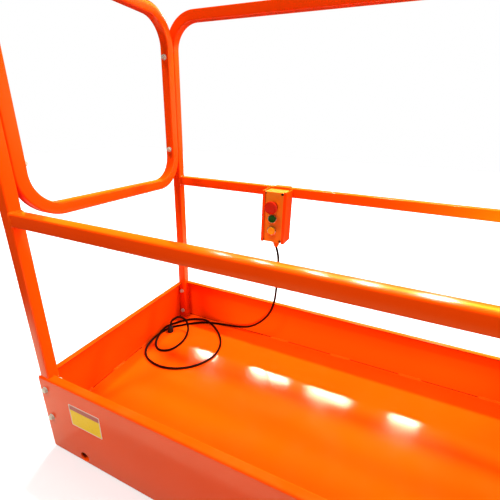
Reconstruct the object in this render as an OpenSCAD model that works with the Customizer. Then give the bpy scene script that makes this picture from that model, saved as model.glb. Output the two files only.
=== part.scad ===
// Work platform of a mini scissor lift: a sheet-metal deck tray with tube guard rails, a fixed
// end guard, a self-closing entrance gate and a hook-on control station with its free cord.
// Millimetres, +Z up. Origin at the bottom centre of the frame; +X runs to the gate end and
// +Y to the side that carries the control station.

/* [Platform] */
// Length over the toe boards
platform_l = 1240; // [1100:10:1500]
// Width over the toe boards
platform_w = 640; // [600:10:800]
// Depth of the frame below the deck surface
frame_d = 90; // [80:1:120]
// Thickness of the deck plate
deck_t = 4; // [3:0.5:6]

/* [Toe boards] */
// Height of the toe boards above the deck surface
toe_h = 160; // [100:5:200]
// Sheet thickness of the toe boards
toe_t = 4; // [3:0.5:5]
// Width of the folded lip along the top edge
lip_w = 20; // [14:1:28]
// Width of the folded foot along the bottom edge
foot_w = 25; // [15:1:40]
// Inside radius of the folds
fold_r = 2; // [1:0.5:4]
// Clearance between the cut lips and the posts
lip_gap = 1; // [0.5:0.5:4]

/* [Guard rails] */
// Height of the guard above the deck surface
guard_h = 1100; // [1000:10:1200]
// Outside width of the square tube
tube_w = 30; // [25:1:40]
// Wall of the square tube
tube_t = 2.5; // [1.5:0.5:3]
// Outside corner radius of the square tube
tube_r = 4; // [3.5:0.5:6]
// Height of the mid rail's underside above the deck
mid_z = 565; // [450:5:650]
// Centre-line radius of the tube bends
bend_r = 90; // [60:5:120]

/* [Gate] */
// Gap between the gate and each post
gate_gap = 10; // [8:1:16]
// Setback of the gate's face behind its stop
gate_set = 0.5; // [0.3:0.1:1]
// Height of each hinge
hinge_h = 66; // [45:1:90]
// Width of each hinge leaf from the pin
leaf_w = 30; // [22:1:40]
// Thickness of the hinge leaves
leaf_t = 3; // [2:0.5:4]
// Outside radius of the hinge knuckles
knuckle_r = 6.5; // [5.5:0.5:7.5]
// Radius of the hinge pins
pin_r = 3; // [2.5:0.5:3.5]
// Radial running clearance round the hinge pins
pin_fit = 0.05; // [0.02:0.01:0.1]
// Distance of each hinge's middle from the end of the gate leg's straight part
hinge_rise = 42.5; // [40:0.5:60]
// Height of the gate stop plate
stop_h = 70; // [40:5:120]
// Overlap of the stop plate over the gate's leg
stop_lap = 22; // [10:1:28]
// Thickness of the stop plate
stop_t = 4; // [3:0.5:4]

/* [Underframe] */
// Height of the cross members
cross_h = 30; // [20:1:34]
// Width of the cross members
cross_w = 40; // [30:1:60]
// Sheet thickness of the cross members
cross_t = 3; // [2:0.5:4]
// Distance of the outer cross members' middles from the ends
cross_x = 120; // [100:5:220]
// Length of the roller tracks
track_l = 640; // [500:10:680]
// Depth of the roller tracks, outside
track_w = 36; // [28:1:50]
// Wall of the roller tracks
track_t = 4; // [3:0.5:5]
// Distance of each track's web from the outer face of the toe board beside it
arm_y = 100; // [80:1:130]
// Radius of the pivot bores in the lugs
pivot_r = 10.05; // [8:0.05:12]
// Radius of the holes in the toe boards that the pivot pins go in through
pin_way_r = 15; // [13:0.5:18]
// Radius of the lugs' round ends
lug_r = 20; // [16:0.5:22]
// Thickness of each lug ear
ear_t = 8; // [5:0.5:10]
// Space between the two ears of a lug
ear_gap = 32; // [24:1:45]

/* [Control station] */
// Distance of the station's middle from the left end
station_x = 422; // [200:1:700]
// Width of the control box
box_w = 66; // [60:0.5:80]
// Height of the control box
box_h = 161; // [150:1:190]
// Depth of the control box with its cover
box_d = 57; // [45:1:70]
// Depth of the cover alone
cover_d = 14; // [8:1:20]
// Corner radius of the box
box_r = 5; // [3:0.5:8]
// Distance of the box top below the top of the mid rail
box_drop = 5; // [2:1:20]
// Height of the groove between the box and its cover
seam_h = 1.2; // [0.6:0.2:2]
// Depth of the groove between the box and its cover
seam_in = 1; // [0.5:0.5:2]
// Sheet thickness of the holder
holder_t = 2.5; // [1.5:0.5:3]
// Clearance between the box and the holder
holder_gap = 0.3; // [0.2:0.1:1]
// Spare width beside the box in the holder
holder_spare = 7.2; // [0:0.2:10]
// Height of the holder
holder_h = 165; // [120:1:200]
// Reach of the holder's side walls past the box face
holder_lip = 4.5; // [3.5:0.5:25]
// Width of the lips folded in front of the box
holder_fold = 9.5; // [6:0.5:11]
// Inside radius of the holder's folds
holder_r = 0.6; // [0.3:0.1:0.6]
// Width of the hook over the mid rail
hook_w = 50; // [30:1:60]
// Length of the hook down the back of the mid rail
hook_h = 16; // [8:1:24]
// Inside radius of the hook's bends
hook_r = 2; // [1:0.5:3]
// Distance between the buttons
button_pitch = 39; // [36:1:42]
// Distance of the stop button's middle below the box top
stop_drop = 45; // [30:1:46]
// Radius of the stop button's head
stop_r = 20; // [16:0.5:20]
// Radius of the push-button bezels
bezel_r = 14.5; // [12:0.5:16]
// Radius of the push-button caps
cap_r = 11.5; // [9:0.5:12]

/* [Cord and glands] */
// Diameter of the control cord
cord_d = 8; // [6:0.5:10]
// Distance of the deck gland's middle from the left end
gland_in_x = 39; // [38:1:60]
// Distance of the deck gland's middle from the far side
gland_in_y = 150; // [60:1:200]
// Height of the deck gland above the deck
deck_gland_h = 28; // [24:1:40]
// Distance of the box gland's middle from the middle of the box
gland_side = 8; // [0:1:14]
// Length of the control box gland
box_gland_l = 24; // [18:1:30]

/* [Hidden] */
$fn = 48;

paint = [0.93, 0.30, 0.02];
steel = [0.62, 0.63, 0.64];
plastic = [0.98, 0.52, 0.06];
black = [0.05, 0.05, 0.05];

half_l = platform_l / 2;
half_w = platform_w / 2;
deck_z = frame_d;
fold_out = fold_r + toe_t;
post_x = half_l - toe_t - tube_w / 2;
post_y = half_w - toe_t - tube_w / 2;
post_top = deck_z + guard_h - tube_w / 2 - bend_r;
mid_top = deck_z + mid_z + tube_w;
guard_top = deck_z + guard_h;
loop_h = guard_h - mid_z;
end_guard_w = 2 * (post_y - tube_w / 2);
gate_w = end_guard_w - 2 * gate_gap;
gate_x = post_x - gate_set;
gate_mid_z = deck_z + mid_z + loop_h / 2;
hinge_low_z = deck_z + mid_z + tube_w / 2 + bend_r + hinge_rise;
hinge_high_z = post_top - hinge_rise;
pin_x = post_x - tube_w / 2 - knuckle_r;
pin_y = -(end_guard_w - gate_gap) / 2;
knuckle_gap = 0.4;
knuckle_h = (hinge_h - 2 * knuckle_gap) / 3;
leaf_clear = 1;

under_z = deck_z - deck_t - cross_h;
cross_mid_x = half_l - cross_x;
lug_foot = 2;
lug_z = lug_r + lug_foot;
lug_base_t = 8;
lug_base_l = cross_w + 20;
track_in = 30;
track_x = half_l - track_in - track_l;
arm_mid = half_w - arm_y;
lug_y = arm_mid - track_w / 2;

box_x = station_x - half_l;
rail_in_y = post_y - tube_w / 2;
box_back_y = rail_in_y - holder_t - holder_gap;
box_face_y = box_back_y - box_d;
box_top_z = mid_top - box_drop;
box_bottom_z = box_top_z - box_h;
holder_w = box_w + 2 * (holder_gap + holder_t) + holder_spare;
holder_x = box_x + holder_spare / 2;
holder_d = rail_in_y - box_face_y + holder_lip;
holder_top_z = mid_top - hook_r;
stop_z = box_top_z - stop_drop;
screw_r = 4.5;
screw_in = 5;
bezel_t = 4;
bezel_edge = 1.5;
cap_gap = 0.3;
cap_reach = 8;
cap_edge = 1.5;
stop_collar_r = 16;
stop_stem_r = 11;
stop_reach = 26;
stop_rim = 5;

gland_thread_r = 8;
gland_hole_gap = 0.3;
gland_hex_r = 12;
gland_hex_h = 7;
gland_body_r = 10;
gland_dome_h = 8;
gland_nut_h = 6;
gland_thread_l = deck_t + gland_nut_h + 3;
deck_gland_x = gland_in_x - half_l;
deck_gland_y = half_w - gland_in_y;
box_gland_x = box_x + gland_side;
box_gland_y = (box_face_y + box_back_y) / 2;
collar_h = 5;
collar_r = 12;
nose_h = 9;
nose_r = cord_d / 2 + 1.5;

post_cut = toe_t + tube_w + lip_gap;
end_cut = tube_w + lip_gap;
cut_over = 1;

// Route of the cord, from the control box gland to the deck gland: X, Y and height above deck
CORD_ROUTE = [
  [-190, 255, 405], [-181, 255, 374], [-177, 255, 320], [-180, 258, 262], [-188, 265, 190],
  [-208, 274, 130], [-244, 285, 78], [-292, 295, 36], [-346, 301, 15], [-400, 302, 6],
  [-446, 295, 4.2], [-490, 280, 4.2], [-530, 253, 4.2], [-566, 220, 4.2], [-594, 186, 4.2],
  [-607, 142, 4.2], [-607, 92, 4.2], [-594, 44, 4.2], [-564, 8, 4.2], [-520, -10, 4.2],
  [-474, -11, 4.2], [-430, 4, 4.2], [-390, 34, 4.2], [-362, 78, 4.2], [-351, 128, 4.2],
  [-362, 182, 4.2], [-392, 228, 5], [-434, 262, 10], [-482, 283, 13.4], [-530, 284, 7],
  [-568, 262, 4.2], [-594, 222, 6], [-604, 182, 11.8], [-603, 146, 13.6], [-594, 108, 9],
  [-576, 74, 4.2], [-544, 56, 4.2], [-513, 72, 4.2], [-500, 110, 4.2], [-502, 156, 5],
  [-514, 194, 18], [-536, 211, 42], [-560, 200, 56], [-577, 180, 48], [-581, 170, 28]];
CORD_SIDES = 8;

// Flat shapes

module rounded_rect(w, h, r) {
  translate([-w / 2 + r, -h / 2]) square([w - 2 * r, h]);
  translate([-w / 2, -h / 2 + r]) square([w, h - 2 * r]);
  for (x = [-1, 1], y = [-1, 1])
    translate([x * (w / 2 - r), y * (h / 2 - r)]) circle(r);
}

module tube_section() {
  difference() {
    rounded_rect(tube_w, tube_w, tube_r);
    rounded_rect(tube_w - 2 * tube_t, tube_w - 2 * tube_t, tube_r - tube_t);
  }
}

// Quarter of a folded sheet edge, centred on the fold, filling the side of negative X
module fold(up) {
  intersection() {
    difference() {
      circle(fold_out);
      circle(fold_r);
    }
    translate([-fold_out, up ? 0 : -fold_out]) square(fold_out);
  }
}

// Toe board section: X runs inward from the outer face, Y is the height
module board_section(z0, z1, foot) {
  low = foot > 0 ? z0 + fold_out : z0;
  translate([0, low]) square([toe_t, z1 - fold_out - low]);
  translate([fold_out, z1 - fold_out]) fold(true);
  translate([fold_out, z1 - toe_t]) square([lip_w - fold_out, toe_t]);
  if (foot > 0) {
    translate([fold_out, z0 + fold_out]) fold(false);
    translate([fold_out, z0]) square([foot - fold_out, toe_t]);
  }
}

// Tubes

module tube_x(l) {
  translate([-l / 2, 0, 0]) rotate([0, 90, 0]) linear_extrude(l) tube_section();
}

module tube_y(l) {
  translate([0, l / 2, 0]) rotate([90, 0, 0]) linear_extrude(l) tube_section();
}

module tube_z(l) {
  linear_extrude(l) tube_section();
}

// Quarter bend about the origin in the flat of X and Y, from the angle start
module tube_bend(start) {
  rotate([0, 0, start]) rotate_extrude(angle = 90) translate([bend_r, 0]) tube_section();
}

// Closed tube loop standing in the flat of Y and Z, its underside at Z 0
module tube_loop(w, h) {
  cw = w / 2 - tube_w / 2 - bend_r;
  ch = h / 2 - tube_w / 2 - bend_r;
  translate([0, 0, h / 2]) {
    for (s = [-1, 1]) {
      translate([0, s * (cw + bend_r), -ch]) tube_z(2 * ch);
      translate([0, 0, s * (ch + bend_r)]) tube_y(2 * cw);
    }
    rotate([90, 0, 90]) {
      translate([cw, ch, 0]) tube_bend(0);
      translate([-cw, ch, 0]) tube_bend(90);
      translate([-cw, -ch, 0]) tube_bend(180);
      translate([cw, -ch, 0]) tube_bend(270);
    }
  }
}

// Deck and toe boards

module deck() {
  color(paint) difference() {
    translate([-half_l + toe_t, -half_w + toe_t, deck_z - deck_t])
      cube([platform_l - 2 * toe_t, platform_w - 2 * toe_t, deck_t]);
    translate([deck_gland_x, deck_gland_y, deck_z - deck_t - 1])
      cylinder(r = gland_thread_r + gland_hole_gap, h = deck_t + 2);
  }
}

// A long board lies along X with its outer face at Y 0 and folds towards +Y
module long_board() {
  difference() {
    translate([-half_l, 0, 0]) rotate([90, 0, 90])
      linear_extrude(platform_l) board_section(0, deck_z + toe_h, foot_w);
    for (s = [-1, 1]) {
      translate([s > 0 ? half_l - post_cut : -half_l - cut_over, toe_t, deck_z + toe_h - fold_out])
        cube([post_cut + cut_over, lip_w, fold_out + cut_over]);
    }
    translate([-cross_mid_x, -cut_over, lug_z]) rotate([-90, 0, 0])
      cylinder(r = pin_way_r, h = toe_t + 2 * cut_over);
  }
}

// An end board lies along Y between the long boards, its outer face at X 0, folding towards +X
module end_board() {
  w = platform_w - 2 * toe_t;
  difference() {
    translate([0, w / 2, 0]) rotate([90, 0, 0])
      linear_extrude(w) board_section(fold_out, deck_z + toe_h, 0);
    for (s = [-1, 1])
      translate([toe_t, s > 0 ? w / 2 - end_cut : -w / 2 - cut_over, deck_z + toe_h - fold_out])
        cube([lip_w, end_cut + cut_over, fold_out + cut_over]);
  }
}

module toe_board_near() {
  color(paint) translate([0, -half_w, 0]) long_board();
}

module toe_board_far() {
  color(paint) mirror([0, 1, 0]) translate([0, -half_w, 0]) long_board();
}

module toe_board_left() {
  color(paint) translate([-half_l, 0, 0]) end_board();
}

module toe_board_right() {
  color(paint) mirror([1, 0, 0]) translate([-half_l, 0, 0]) end_board();
}

// Underframe

module cross_member(x) {
  l = platform_w - 2 * toe_t;
  color(paint) translate([x - cross_w / 2, -l / 2, under_z]) difference() {
    cube([cross_w, l, cross_h]);
    translate([cross_t, -1, -1]) cube([cross_w - 2 * cross_t, l + 2, cross_h - cross_t + 1]);
  }
}

module cross_member_left() {
  cross_member(-cross_mid_x);
}

module cross_member_middle() {
  cross_member(0);
}

module cross_member_right() {
  cross_member(cross_mid_x);
}

// Channel open towards the middle of the platform, closed by a stop plate at each end
module roller_track() {
  color(paint) translate([track_x, -arm_mid, 0]) difference() {
    cube([track_l, track_w, under_z]);
    translate([track_t, track_t, track_t])
      cube([track_l - 2 * track_t, track_w, under_z - 2 * track_t]);
  }
}

module roller_track_near() {
  roller_track();
}

module roller_track_far() {
  mirror([0, 1, 0]) roller_track();
}

// Two ears under a base plate, bored for the pivot pin of a scissor arm
module pivot_lug() {
  color(paint) translate([-cross_mid_x, -lug_y, 0]) difference() {
    union() {
      translate([-lug_base_l / 2, -ear_gap / 2 - ear_t, under_z - lug_base_t])
        cube([lug_base_l, ear_gap + 2 * ear_t, lug_base_t]);
      for (y = [-ear_gap / 2 - ear_t, ear_gap / 2]) {
        translate([-lug_r, y, lug_z]) cube([2 * lug_r, ear_t, under_z - lug_base_t - lug_z]);
        translate([0, y + ear_t, lug_z]) rotate([90, 0, 0]) cylinder(r = lug_r, h = ear_t);
      }
    }
    translate([0, ear_gap, lug_z]) rotate([90, 0, 0]) cylinder(r = pivot_r, h = 2 * ear_gap);
  }
}

module pivot_lug_near() {
  pivot_lug();
}

module pivot_lug_far() {
  mirror([0, 1, 0]) pivot_lug();
}

// Guard rails

module post(x, y) {
  color(paint) translate([x * post_x, y * post_y, deck_z]) tube_z(post_top - deck_z);
}

module post_near_left() {
  post(-1, -1);
}

module post_far_left() {
  post(-1, 1);
}

module post_near_right() {
  post(1, -1);
}

module post_far_right() {
  post(1, 1);
}

module mid_rail(y) {
  color(paint) translate([0, y * post_y, mid_top - tube_w / 2]) tube_x(2 * post_x - tube_w);
}

module mid_rail_near() {
  mid_rail(-1);
}

module mid_rail_far() {
  mid_rail(1);
}

// Straight rail whose ends bend down on to the posts
module top_rail(y) {
  cx = post_x - bend_r;
  color(paint) translate([0, y * post_y, post_top]) {
    translate([0, 0, bend_r]) tube_x(2 * cx);
    rotate([90, 0, 0]) {
      translate([cx, 0, 0]) tube_bend(0);
      translate([-cx, 0, 0]) tube_bend(90);
    }
  }
}

module top_rail_near() {
  top_rail(-1);
}

module top_rail_far() {
  top_rail(1);
}

module end_guard() {
  color(paint) translate([-post_x, 0, deck_z + mid_z]) tube_loop(end_guard_w, loop_h);
}

// Gate

module gate_frame() {
  color(paint) translate([gate_x, 0, deck_z + mid_z]) tube_loop(gate_w, loop_h);
}

// Leaf beside the pin, its face against the tube it is screwed to, with the part of the knuckle
// zone that its own knuckles fill
module hinge_leaf(face_x, side, tongues) {
  y0 = side > 0 ? knuckle_r + leaf_clear : -leaf_w;
  y1 = side > 0 ? leaf_w : -knuckle_r - leaf_clear;
  translate([face_x - leaf_t, y0, 0]) cube([leaf_t, y1 - y0, hinge_h]);
  for (z = tongues) {
    difference() {
      translate([face_x - leaf_t, side > 0 ? 0 : -knuckle_r - leaf_clear, z])
        cube([leaf_t, knuckle_r + leaf_clear, knuckle_h]);
      translate([0, 0, z - 1]) cylinder(r = knuckle_r - 1, h = knuckle_h + 2);
    }
  }
}

module hinge_fixed(z) {
  top = 2 * (knuckle_h + knuckle_gap);
  color(steel) translate([pin_x, pin_y, z - hinge_h / 2]) {
    hinge_leaf(knuckle_r, -1, [0, top]);
    for (k = [0, top]) translate([0, 0, k]) cylinder(r = knuckle_r, h = knuckle_h);
    cylinder(r = pin_r, h = hinge_h);
  }
}

module hinge_moving(z) {
  low = knuckle_h + knuckle_gap;
  color(steel) translate([pin_x, pin_y, z - hinge_h / 2]) difference() {
    union() {
      hinge_leaf(knuckle_r - gate_set, 1, [low]);
      translate([0, 0, low]) cylinder(r = knuckle_r, h = knuckle_h);
    }
    translate([0, 0, low - 1]) cylinder(r = pin_r + pin_fit, h = knuckle_h + 2);
  }
}

module hinge_fixed_lower() {
  hinge_fixed(hinge_low_z);
}

module hinge_fixed_upper() {
  hinge_fixed(hinge_high_z);
}

module hinge_moving_lower() {
  hinge_moving(hinge_low_z);
}

module hinge_moving_upper() {
  hinge_moving(hinge_high_z);
}

// Plate on the outer face of the far post that the gate's free leg closes against
module gate_stop() {
  y0 = gate_w / 2 - stop_lap;
  color(paint) translate([post_x + tube_w / 2, y0, gate_mid_z - stop_h / 2])
    cube([stop_t, post_y + tube_w / 2 - y0, stop_h]);
}

// Control station

// Folded channel seen from above, its back along Y 0, with a lip in front at each side
module holder_section() {
  difference() {
    translate([0, -holder_d / 2]) difference() {
      rounded_rect(holder_w, holder_d, holder_r + holder_t);
      rounded_rect(holder_w - 2 * holder_t, holder_d - 2 * holder_t, holder_r);
    }
    translate([-holder_w / 2 + holder_fold, -holder_d - cut_over])
      square([holder_w - 2 * holder_fold, holder_d / 2]);
  }
}

// Strap bent over the rail, seen along X, with 0 at the middle of the rail's top
module hook_section() {
  difference() {
    translate([0, -hook_h]) difference() {
      rounded_rect(tube_w + 2 * holder_t, 2 * (hook_h + holder_t), hook_r + holder_t);
      rounded_rect(tube_w, 2 * hook_h, hook_r);
    }
    translate([-tube_w, -3 * hook_h]) square([2 * tube_w, 2 * hook_h]);
  }
}

module control_holder() {
  color(paint) translate([holder_x, 0, 0]) {
    translate([0, rail_in_y, holder_top_z - holder_h]) linear_extrude(holder_h) holder_section();
    translate([-hook_w / 2, post_y, mid_top]) rotate([90, 0, 90])
      linear_extrude(hook_w) hook_section();
  }
}

// Everything on the box is drawn facing -Y, with Y 0 at the cover's face and Z 0 at its middle
module on_box() {
  translate([box_x, box_face_y, (box_top_z + box_bottom_z) / 2]) children();
}

module box_slab(y0, y1, inset = 0) {
  translate([0, y1, 0]) rotate([90, 0, 0]) linear_extrude(y1 - y0)
    rounded_rect(box_w - 2 * inset, box_h - 2 * inset, box_r - inset);
}

// Housing behind the cover, its front edge stepped in for the groove round the joint
module control_box() {
  color(plastic) on_box() {
    box_slab(cover_d + seam_h, box_d);
    box_slab(cover_d, cover_d + 2 * seam_h, seam_in);
  }
}

// Cover with a stepped screw pocket at each corner
module control_cover() {
  color(plastic) on_box() difference() {
    box_slab(0, cover_d);
    for (x = [-1, 1], z = [-1, 1])
      translate([x * (box_w / 2 - screw_in), cover_d / 2, z * (box_h / 2 - screw_in)])
        rotate([90, 0, 0]) cylinder(r = screw_r, h = cover_d);
  }
}

// Turned part on the cover, its outline given as radius and distance out of the face
module on_cover(z) {
  translate([box_x, box_face_y, z]) rotate([90, 0, 0]) rotate_extrude() children();
}

module button_bezels() {
  color(steel) {
    for (k = [1, 2]) on_cover(stop_z - k * button_pitch) difference() {
      union() {
        square([bezel_r, bezel_t - bezel_edge]);
        square([bezel_r - bezel_edge, bezel_t]);
        translate([bezel_r - bezel_edge, bezel_t - bezel_edge]) circle(bezel_edge, $fn = 24);
      }
      square([cap_r + cap_gap, bezel_t + 1]);
    }
    on_cover(stop_z) difference() {
      square([stop_collar_r, bezel_t]);
      square([stop_stem_r + cap_gap, bezel_t + 1]);
    }
  }
}

// Mushroom head on its stem, the rim rounded off
module stop_button() {
  color([0.75, 0.06, 0.02]) on_cover(stop_z) {
    square([stop_stem_r, stop_reach - stop_rim]);
    translate([0, stop_reach - 2 * stop_rim]) square([stop_r - stop_rim, 2 * stop_rim]);
    translate([stop_r - stop_rim, stop_reach - stop_rim]) intersection() {
      circle(stop_rim);
      translate([0, -stop_rim]) square([stop_rim, 2 * stop_rim]);
    }
  }
}

module push_button(z) {
  on_cover(z) {
    square([cap_r, cap_reach - cap_edge]);
    square([cap_r - cap_edge, cap_reach]);
    translate([cap_r - cap_edge, cap_reach - cap_edge]) intersection() {
      circle(cap_edge, $fn = 24);
      square(cap_edge);
    }
  }
}

module up_button() {
  color([0.02, 0.32, 0.12]) push_button(stop_z - button_pitch);
}

module down_button() {
  color([0.98, 0.60, 0.05]) push_button(stop_z - 2 * button_pitch);
}

// Cord and glands

// Screwed gland through the deck: hexagon, body, domed nut and a lock nut below the plate
module deck_gland() {
  color(black) translate([deck_gland_x, deck_gland_y, deck_z]) {
    cylinder(r = gland_hex_r, h = gland_hex_h, $fn = 6);
    cylinder(r = gland_body_r, h = deck_gland_h - gland_dome_h);
    translate([0, 0, deck_gland_h - gland_dome_h])
      cylinder(r1 = gland_body_r, r2 = nose_r, h = gland_dome_h);
    translate([0, 0, -gland_thread_l]) cylinder(r = gland_thread_r, h = gland_thread_l);
    translate([0, 0, -deck_t - gland_nut_h]) cylinder(r = gland_hex_r, h = gland_nut_h, $fn = 6);
  }
}

// Gland under the control box: hexagon collar, body and a nose that tapers to the cord
module control_gland() {
  body_h = box_gland_l - collar_h - nose_h;
  color(plastic) translate([box_gland_x, box_gland_y, box_bottom_z]) {
    translate([0, 0, -collar_h]) cylinder(r = collar_r, h = collar_h, $fn = 6);
    translate([0, 0, -collar_h - body_h]) cylinder(r = gland_body_r, h = body_h);
    translate([0, 0, -box_gland_l]) cylinder(r1 = nose_r, r2 = gland_body_r, h = nose_h);
  }
}

function unit(v) = v / norm(v);

// Point between b and c on the smooth curve through a, b, c and d
function between(a, b, c, d, t) =
  0.5 * (2 * b + (c - a) * t + (2 * a - 5 * b + 4 * c - d) * t * t
         + (3 * b - a - 3 * c + d) * t * t * t);

function route_point(i) =
  CORD_ROUTE[max(0, min(len(CORD_ROUTE) - 1, i))];

// Centres of the cord's rings: two to each stretch of the route
cord_path = [
  for (i = [0 : len(CORD_ROUTE) - 2], t = [0, 0.5])
    between(route_point(i - 1), route_point(i), route_point(i + 1), route_point(i + 2), t)
    + [0, 0, deck_z],
  route_point(len(CORD_ROUTE) - 1) + [0, 0, deck_z]];

function cord_tangent(i) =
  i == 0 || i == len(cord_path) - 1 ? [0, 0, -1]
  : unit(cord_path[i + 1] - cord_path[i - 1]);

// Side direction of each ring, carried on from the ring before without twisting
cord_sides_dir = [
  for (i = 0, u = [1, 0, 0]; i < len(cord_path);
       i = i + 1, u = unit(u - (u * cord_tangent(min(i, len(cord_path) - 1)))
                           * cord_tangent(min(i, len(cord_path) - 1)))) u];

module cord() {
  n = len(cord_path);
  rings = [
    for (i = [0 : n - 1], k = [0 : CORD_SIDES - 1])
      let (t = cord_tangent(i), u = cord_sides_dir[i], v = cross(t, u), a = 360 * k / CORD_SIDES)
        cord_path[i] + cord_d / 2 * (cos(a) * u + sin(a) * v)];
  walls = [
    for (i = [0 : n - 2], k = [0 : CORD_SIDES - 1])
      let (j = (k + 1) % CORD_SIDES, p = i * CORD_SIDES, q = p + CORD_SIDES)
        each [[p + k, p + j, q + j], [p + k, q + j, q + k]]];
  first = [for (k = [CORD_SIDES - 1 : -1 : 0]) k];
  last = [for (k = [0 : CORD_SIDES - 1]) (n - 1) * CORD_SIDES + k];
  color(black) polyhedron(rings, concat(walls, [first, last]));
}

deck();
toe_board_near();
toe_board_far();
toe_board_left();
toe_board_right();
cross_member_left();
cross_member_middle();
cross_member_right();
roller_track_near();
roller_track_far();
pivot_lug_near();
pivot_lug_far();
post_near_left();
post_far_left();
post_near_right();
post_far_right();
mid_rail_near();
mid_rail_far();
top_rail_near();
top_rail_far();
end_guard();
hinge_fixed_lower();
hinge_fixed_upper();
gate_stop();
gate_frame();
hinge_moving_lower();
hinge_moving_upper();
control_holder();
control_box();
control_cover();
button_bezels();
stop_button();
up_button();
down_button();
control_gland();
deck_gland();
cord();
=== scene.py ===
# Looks of a guarded work platform: painted tray, tube rails, gate, control station and its cord.
# Metres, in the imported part's own frame: +X to the gate end, +Y to the control station, +Z up.
import math

import bmesh
import bpy
import numpy as np
from mathutils import Matrix, Vector


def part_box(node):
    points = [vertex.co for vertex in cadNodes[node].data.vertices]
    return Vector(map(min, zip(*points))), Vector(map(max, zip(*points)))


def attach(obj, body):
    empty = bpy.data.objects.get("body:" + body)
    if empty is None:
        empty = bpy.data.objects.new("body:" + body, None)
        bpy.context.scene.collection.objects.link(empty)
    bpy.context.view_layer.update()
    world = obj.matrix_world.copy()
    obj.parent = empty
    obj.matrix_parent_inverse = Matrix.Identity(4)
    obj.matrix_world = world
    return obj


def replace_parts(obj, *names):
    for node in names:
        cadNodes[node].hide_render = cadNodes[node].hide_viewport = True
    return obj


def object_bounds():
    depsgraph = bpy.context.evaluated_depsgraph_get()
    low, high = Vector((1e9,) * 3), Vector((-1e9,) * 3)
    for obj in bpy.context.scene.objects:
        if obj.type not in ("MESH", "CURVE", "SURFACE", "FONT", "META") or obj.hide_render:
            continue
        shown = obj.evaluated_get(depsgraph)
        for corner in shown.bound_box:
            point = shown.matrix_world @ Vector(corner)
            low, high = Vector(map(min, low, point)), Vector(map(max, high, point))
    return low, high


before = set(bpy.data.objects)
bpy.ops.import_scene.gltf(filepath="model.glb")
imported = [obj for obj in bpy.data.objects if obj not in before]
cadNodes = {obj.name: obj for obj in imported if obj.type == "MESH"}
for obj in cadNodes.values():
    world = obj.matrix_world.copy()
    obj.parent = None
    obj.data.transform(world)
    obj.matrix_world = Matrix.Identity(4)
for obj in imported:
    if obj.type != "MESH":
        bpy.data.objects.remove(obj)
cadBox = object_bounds()
mm = 0.001


def newObject(name, data):
    thing = bpy.data.objects.new(name, data)
    bpy.context.scene.collection.objects.link(thing)
    return thing


# Camera at the photograph's place

camera = dict(
    location=(0.1415, -0.7185, 0.8773),
    yaw=-23.61,  # degrees to the right of +Y
    pitch=-21.22,
    roll=1.76,
    lens=23.71,
    sensor=36.0,
    clip=0.02,
)


def makeCamera(spec):
    # forward follows yaw and pitch; right and up turn about it by the roll
    yaw, pitch, roll = (math.radians(spec[k]) for k in ("yaw", "pitch", "roll"))
    ahead = Vector((math.sin(yaw) * math.cos(pitch), math.cos(yaw) * math.cos(pitch), math.sin(pitch)))
    level = Vector((math.cos(yaw), -math.sin(yaw), 0))
    upright = level.cross(ahead)
    right = level * math.cos(roll) + upright * math.sin(roll)
    up = upright * math.cos(roll) - level * math.sin(roll)
    lens = bpy.data.cameras.new("photoCamera")
    lens.lens = spec["lens"]
    lens.sensor_width = spec["sensor"]
    lens.clip_start = spec["clip"]
    eye = newObject("photoCamera", lens)
    turn = Matrix((right, up, -ahead)).transposed().to_4x4()
    eye.matrix_world = Matrix.Translation(spec["location"]) @ turn
    bpy.context.scene.camera = eye


makeCamera(camera)
bpy.context.scene.view_settings.view_transform = "Standard"
print("camera placed")


# Surfaces worked out as rings of points

merging = dict(own=1e-6, packed=2e-6, flat=0.5, sharp=30.0)  # two distances, two angles in degrees


def unit(v):
    return v / np.linalg.norm(v, axis=-1, keepdims=True)


def skin(rings, closed=False, ends=True):
    # (points, faces) over rings x points x 3: a quad between each point and its neighbours; the last
    # ring is joined to the first where closed, else ends puts a face over each of the two
    rows, cols = rings.shape[:2]
    i, j = np.meshgrid(np.arange(rows if closed else rows - 1), np.arange(cols), indexing="ij")
    nextI, nextJ = (i + 1) % rows, (j + 1) % cols
    quads = np.stack([i * cols + j, nextI * cols + j, nextI * cols + nextJ, i * cols + nextJ], -1)
    faces = quads.reshape(-1, 4).tolist()
    if ends and not closed:
        faces += [list(range(cols)), [(rows - 1) * cols + k for k in range(cols)]]
    return rings.reshape(-1, 3), faces


def joined(parts):
    # several (points, faces) as one
    faces, first = [], 0
    for points, own in parts:
        faces += [[k + first for k in face] for face in own]
        first += len(points)
    return np.vstack([points for points, own in parts]), faces


def addPiece(name, mesh, work, material, body, sharp):
    # faces are smooth and edges over the angle stay sharp
    for face in work.faces:
        face.smooth = True
    for edge in work.edges:
        if len(edge.link_faces) == 2 and edge.calc_face_angle(0.0) > math.radians(sharp):
            edge.smooth = False
    work.to_mesh(mesh)
    work.free()
    mesh.materials.append(material)
    piece = newObject(name, mesh)
    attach(piece, body)
    return piece


def makePiece(name, shape, material, body="root", sharp=35.0):
    # shape is (points, faces); normals are turned outwards
    points, faces = shape
    mesh = bpy.data.meshes.new(name)
    mesh.from_pydata(points.tolist(), [], faces)
    work = bmesh.new()
    work.from_mesh(mesh)
    bmesh.ops.remove_doubles(work, verts=work.verts, dist=merging["own"])
    bmesh.ops.recalc_face_normals(work, faces=work.faces)
    return addPiece(name, mesh, work, material, body, sharp)


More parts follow.
